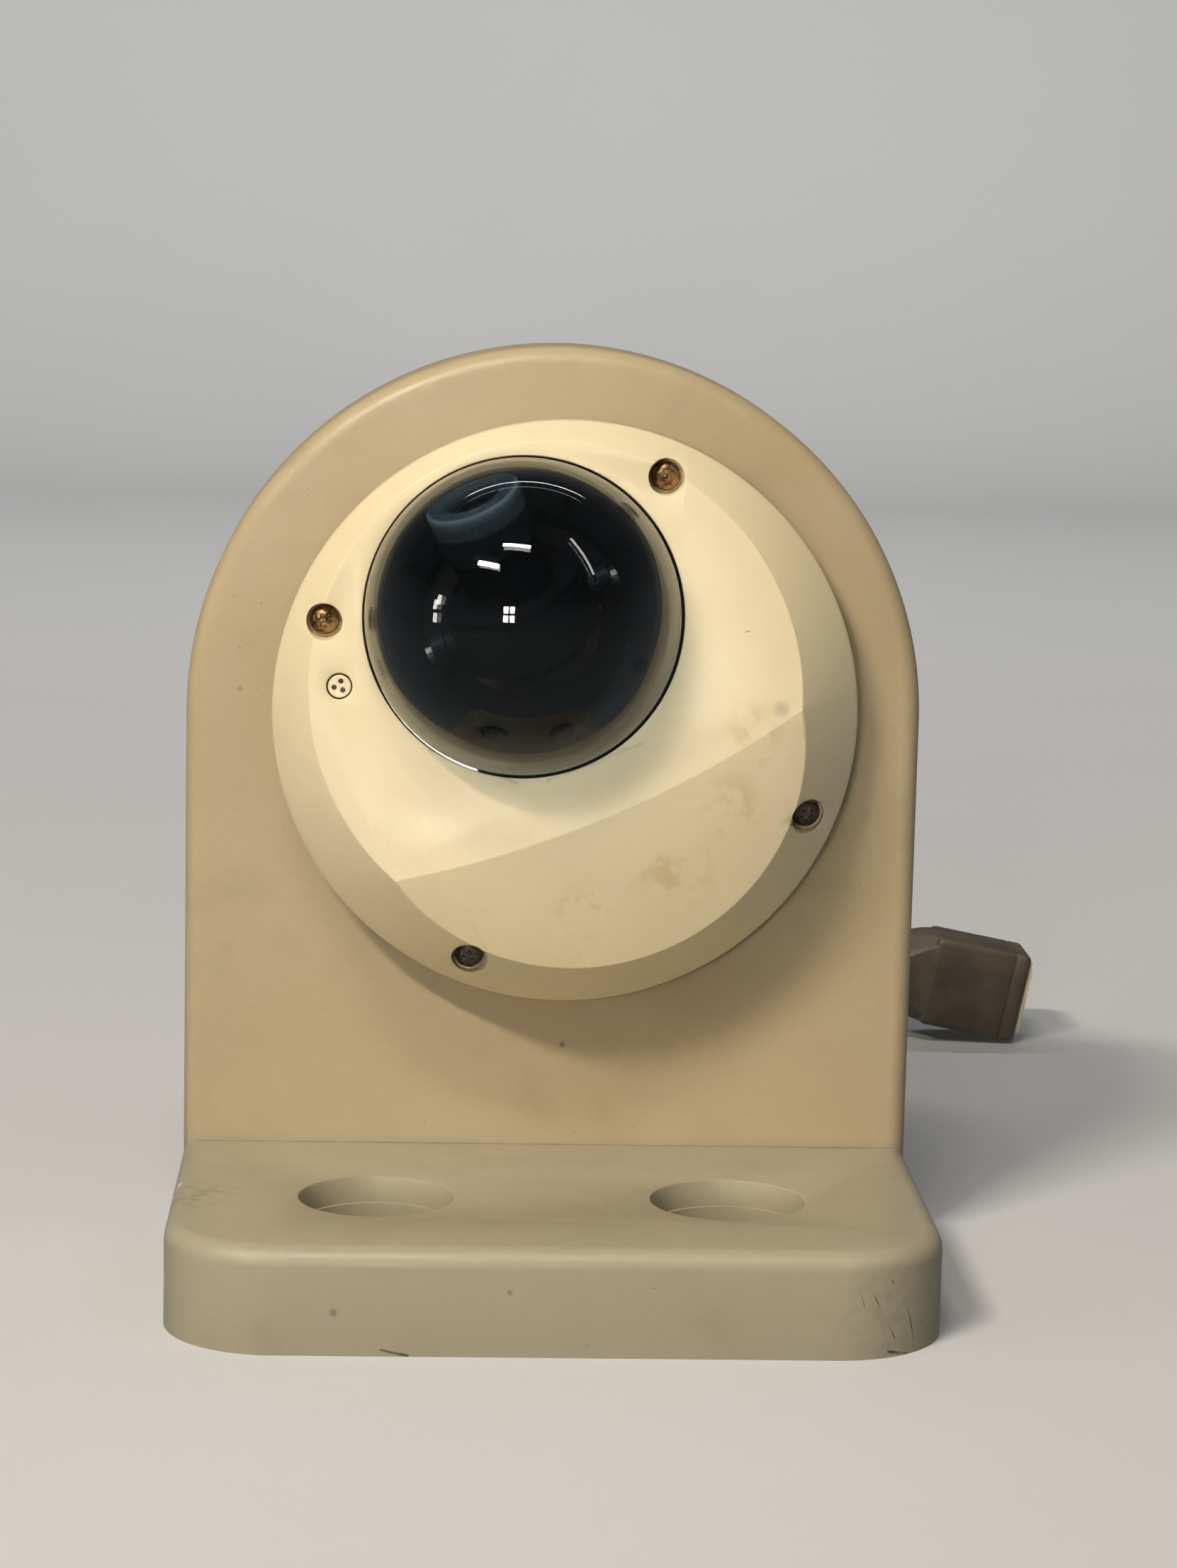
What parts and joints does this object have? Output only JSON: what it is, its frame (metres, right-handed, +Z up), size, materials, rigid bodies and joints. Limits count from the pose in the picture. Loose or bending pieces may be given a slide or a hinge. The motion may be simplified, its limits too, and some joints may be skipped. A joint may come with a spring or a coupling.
{
  "type": "dome camera on bench bracket",
  "caption": "Compact vandal-resistant dome camera with a smoked bubble and a pan, tilt and roll lens gimbal, on an L-shaped round-topped bracket with a network pigtail.",
  "frame": {"origin": "centre of the bracket footprint, on the surface it stands on", "axes": "+Z up, -Y the way the camera looks, +X to the right of someone facing the dome"},
  "size_m": [0.2065, 0.2875, 0.1852],
  "materials": {
    "bracket_shell": "aged satin beige with specks and scratches",
    "cover_shell": "yellowed satin cream",
    "smoked_dome": "clear smoked polycarbonate, glossy",
    "black_plastic": "fine matt black",
    "lens_glass": "coated optical glass",
    "rubber": "matt",
    "steel": "zinc plated",
    "aged_screw": "brown, tarnished",
    "circuit_board": "green solder mask",
    "heat_sink_metal": "plain",
    "connector_shell": "dirty taupe",
    "jack_plastic": "yellowed ivory",
    "contact_gold": "plated"
  },
  "bodies": {
    "housing": {"base_cable_gland": "rubber", "base_mounting_screw_1": "steel", "base_mounting_screw_2": "steel", "base_mounting_screw_3": "steel", "board_screw_1": "steel", "board_screw_2": "steel", "board_screw_3": "steel", "bracket_body": "bracket_shell", "bracket_rear_cover": "bracket_shell", "cable_grommet": "rubber", "camera_base": "cover_shell", "connector_body": "connector_shell", "cover_screw_1": "aged_screw", "cover_screw_2": "aged_screw", "cover_screw_3": "aged_screw", "cover_screw_4": "aged_screw", "cover_seal": "rubber", "dome_clamp_ring": "black_plastic", "dome_ring_screw_1": "steel", "dome_ring_screw_2": "steel", "dome_ring_screw_3": "steel", "dome_seal": "rubber", "dome_window": "smoked_dome", "foot_base_plate": "steel", "foot_plate_screw_1": "steel", "foot_plate_screw_2": "steel", "heat_sink": "heat_sink_metal", "inner_lead": "rubber", "inner_liner": "black_plastic", "jack_contacts": "contact_gold", "jack_insert": "jack_plastic", "main_board": "circuit_board", "memory_card_socket": "steel", "microphone_capsule": "black_plastic", "microphone_port": "cover_shell", "network_cable": "rubber", "network_transformer": "black_plastic", "pan_base": "black_plastic", "pan_retainer": "black_plastic", "processor_chip": "black_plastic", "rear_cover_screw_1": "steel", "rear_cover_screw_2": "steel", "rear_cover_screw_3": "steel", "rear_cover_screw_4": "steel", "reset_switch": "black_plastic", "top_cover": "cover_shell"},
    "pan_stage": {"pan_turntable": "black_plastic", "tilt_pivot_screw_1": "steel", "tilt_pivot_screw_2": "steel"},
    "tilt_stage": {"tilt_cradle": "black_plastic"},
    "roll_stage": {"roll_ring": "black_plastic", "lens_holder": "black_plastic", "lens_bezel": "black_plastic", "sensor_board": "circuit_board", "sensor_chip": "lens_glass", "lens_lock_ring": "contact_gold"},
    "focus_barrel": {"lens_barrel": "black_plastic", "lens_front_glass": "lens_glass"},
    "reset_plunger": {"reset_button": "jack_plastic"}
  },
  "joints": [
    {"name": "pan", "type": "hinge", "parent": "housing", "child": "pan_stage", "pos_m": [-0.00733, 0.01031, 0.13284], "axis": [-0.0721, -0.9842, 0.1618], "range_deg": [-175, 175]},
    {"name": "tilt", "type": "hinge", "parent": "pan_stage", "child": "tilt_stage", "pos_m": [-0.00733, 0.01031, 0.13284], "axis": [0.9135, 0, 0.4067], "range_deg": [-10, 134]},
    {"name": "roll", "type": "hinge", "parent": "tilt_stage", "child": "roll_stage", "pos_m": [-0.00733, 0.01031, 0.13284], "axis": [-0.3873, -0.3056, 0.8698], "range_deg": [-175, 175]},
    {"name": "focus", "type": "hinge", "parent": "roll_stage", "child": "focus_barrel", "pos_m": [-0.00733, 0.01031, 0.13284], "axis": [-0.3873, -0.3056, 0.8698], "range_deg": [-180, 180]},
    {"name": "reset_press", "type": "slide", "parent": "housing", "child": "reset_plunger", "axis": [0, 1, 0], "range_m": [0, 0.0003], "stiffness_N_per_m": 2000}
  ]
}
